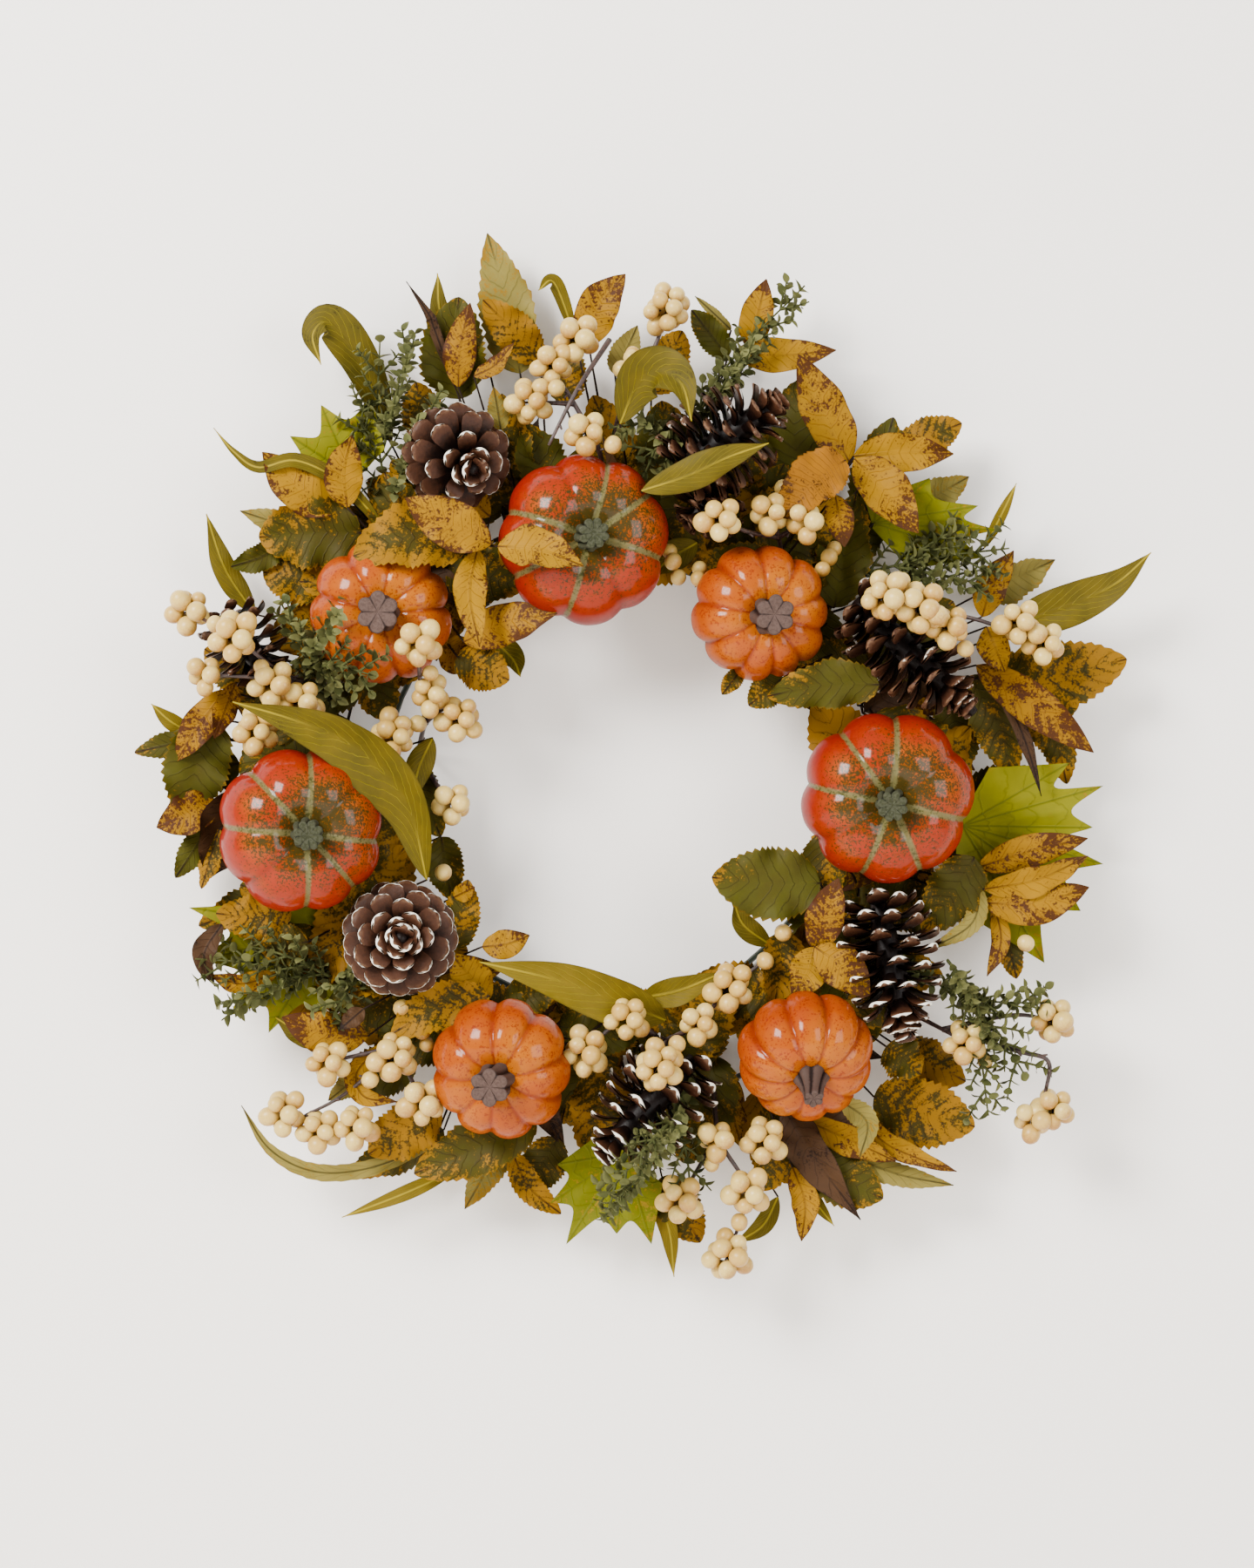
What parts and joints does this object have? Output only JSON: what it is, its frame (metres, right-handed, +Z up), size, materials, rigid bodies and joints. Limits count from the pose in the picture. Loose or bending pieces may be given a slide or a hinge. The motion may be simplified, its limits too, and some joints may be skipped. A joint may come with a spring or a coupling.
{
  "type": "harvest door wreath",
  "caption": "Round door wreath of artificial autumn leaves, pumpkins, pine cones and berries on a welded wire ring with a hanging loop.",
  "frame": {"origin": "middle of the outer hoop's wire at the top of the ring, where the door hook holds the wreath; the ring's centre lies straight below it", "axes": "+Z up, +X to the right of someone facing the wreath, -Y out of the door towards that person; the door is the plane of the cross ties' backs, on the +Y side"},
  "size_m": [0.5778, 0.1258, 0.6007],
  "materials": {
    "frame_wire": "dark brown-green enamel, satin",
    "red_pumpkin_skin": "glossy red-orange lacquer, grey-green grooves and a green-brown speckle round the stem",
    "orange_pumpkin_skin": "glossy orange lacquer with fine brick-red speckles",
    "green_stem": "matt grey-green, ribbed",
    "grey_stem": "matt grey-brown, ribbed",
    "pine_cone": "dark brown natural scales with white frosted edges",
    "berry": "cream lacquer over foam, faint ring grain",
    "autumn_leaf": "printed mustard polyester with purple-brown blotches and veins",
    "olive_leaf": "printed dark olive and brown polyester with yellow patches and pale veins",
    "maple_leaf": "printed lime green polyester with darker veins",
    "greenery": "matt grey-green moulded plastic"
  },
  "bodies": {
    "wreath": {"outer_hoop": "frame_wire", "inner_hoop": "frame_wire", "cross_tie_1": "frame_wire", "cross_tie_2": "frame_wire", "cross_tie_3": "frame_wire", "cross_tie_4": "frame_wire", "cross_tie_5": "frame_wire", "large_pumpkin_top": "red_pumpkin_skin", "large_pumpkin_top_stem": "green_stem", "large_pumpkin_left": "red_pumpkin_skin", "large_pumpkin_left_stem": "green_stem", "large_pumpkin_right": "red_pumpkin_skin", "large_pumpkin_right_stem": "green_stem", "small_pumpkin_upper_left": "orange_pumpkin_skin", "small_pumpkin_upper_left_stem": "grey_stem", "small_pumpkin_upper_right": "orange_pumpkin_skin", "small_pumpkin_upper_right_stem": "grey_stem", "small_pumpkin_lower_left": "orange_pumpkin_skin", "small_pumpkin_lower_left_stem": "grey_stem", "small_pumpkin_lower_right": "orange_pumpkin_skin", "small_pumpkin_lower_right_stem": "grey_stem", "pine_cone_top_left": "pine_cone", "pine_cone_top_right": "pine_cone", "pine_cone_top_right_inner": "pine_cone", "pine_cone_right": "pine_cone", "pine_cone_left": "pine_cone", "pine_cone_lower_left": "pine_cone", "pine_cone_bottom": "pine_cone", "pine_cone_lower_right": "pine_cone", "berry_spray_top": "berry", "berry_spray_upper_right": "berry", "berry_spray_right": "berry", "berry_spray_left": "berry", "berry_spray_left_inner": "berry", "berry_spray_lower_left": "berry", "berry_spray_bottom": "berry", "berry_spray_bottom_right": "berry", "berry_spray_lower_right": "berry", "leaf_spray_top_left": "autumn_leaf", "leaf_spray_top": "autumn_leaf", "leaf_spray_upper_left": "olive_leaf", "leaf_spray_upper_left_inner": "autumn_leaf", "leaf_spray_upper_right": "autumn_leaf", "leaf_spray_right": "olive_leaf", "leaf_spray_right_maple": "maple_leaf", "leaf_spray_lower_right_inner": "autumn_leaf", "leaf_spray_lower_right": "olive_leaf", "leaf_spray_bottom": "maple_leaf", "leaf_spray_lower_left": "olive_leaf", "leaf_spray_left_maple": "maple_leaf", "leaf_spray_left": "autumn_leaf", "leaf_spray_inner_left": "olive_leaf", "greenery_sprig_upper_left": "greenery", "greenery_sprig_top": "greenery", "greenery_sprig_right": "greenery", "greenery_sprig_left": "greenery", "greenery_sprig_lower_left": "greenery", "greenery_sprig_bottom": "greenery", "greenery_sprig_lower_right": "greenery"},
    "hanging_loop": {"hanging_loop": "frame_wire"}
  },
  "joints": [
    {"name": "loop_swing", "type": "hinge", "parent": "wreath", "child": "hanging_loop", "pos_m": [0, 0, 0], "axis": [1, 0, 0], "range_deg": [0, 180]}
  ]
}
